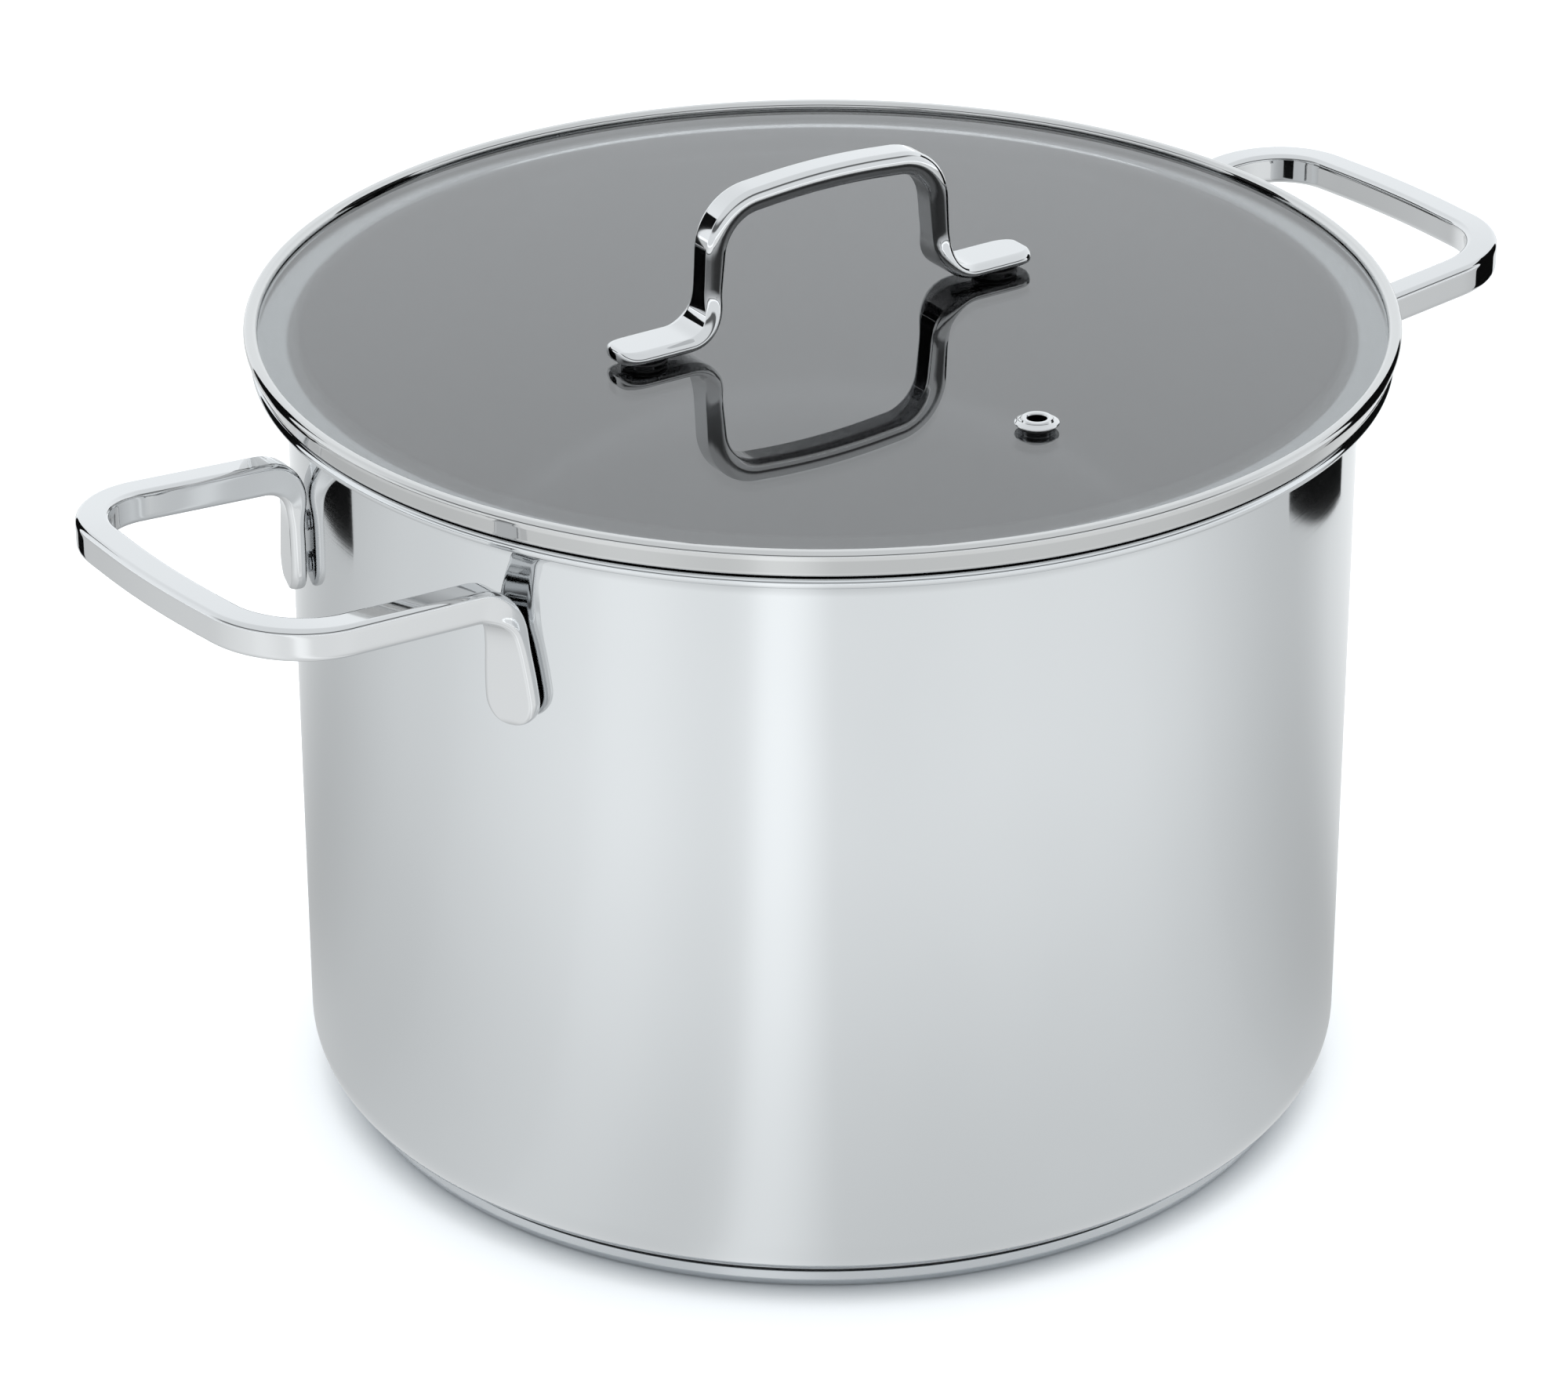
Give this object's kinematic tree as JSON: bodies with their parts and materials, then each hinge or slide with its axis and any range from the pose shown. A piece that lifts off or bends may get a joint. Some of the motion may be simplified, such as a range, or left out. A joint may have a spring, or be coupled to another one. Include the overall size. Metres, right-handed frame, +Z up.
{
  "type": "stock pot",
  "caption": "Deep straight-sided stainless stock pot with two loop side handles, a bonded heat-spreading base and a flat glass lid with a steel ring, bar handle and steam vent.",
  "frame": {"origin": "centre of the base underside, on the surface the pot stands on", "axes": "+Z up along the pot's axis, +X through the right side handle, +Y to the rear; the steam vent is on the -Y side"},
  "size_m": [0.3874, 0.2794, 0.2403],
  "materials": {
    "body_steel": "satin polish, fine circumferential grain outside, softly brushed inside",
    "polished_steel": "mirror-polished stainless steel",
    "base_steel": "satin turned stainless steel",
    "core_aluminium": "plain rolled sheet, hidden",
    "lid_glass": "clear tempered glass, slightly grey, glossy",
    "silicone": "matt black silicone",
    "fastener_steel": "plain bright stainless steel"
  },
  "bodies": {
    "pot": {"pot_body": "body_steel", "base_cap": "base_steel", "base_core_disc": "core_aluminium", "handle_left": "polished_steel", "handle_right": "polished_steel", "weld_left_front_lower": "base_steel", "weld_left_front_upper": "base_steel", "weld_left_rear_lower": "base_steel", "weld_left_rear_upper": "base_steel", "weld_right_front_lower": "base_steel", "weld_right_front_upper": "base_steel", "weld_right_rear_lower": "base_steel", "weld_right_rear_upper": "base_steel"},
    "lid": {"lid_glass": "lid_glass", "lid_ring": "polished_steel", "lid_handle": "polished_steel", "handle_pad_left": "silicone", "handle_pad_right": "silicone", "under_pad_left": "silicone", "under_pad_right": "silicone", "screw_washer_left": "fastener_steel", "screw_washer_right": "fastener_steel", "handle_screw_left": "fastener_steel", "handle_screw_right": "fastener_steel", "vent_eyelet": "polished_steel", "vent_gasket": "silicone", "vent_backing": "fastener_steel"}
  },
  "joints": [
    {"name": "lid_lift", "type": "slide", "parent": "pot", "child": "lid", "axis": [0, 0, 1], "range_m": [0, 0.12]}
  ]
}
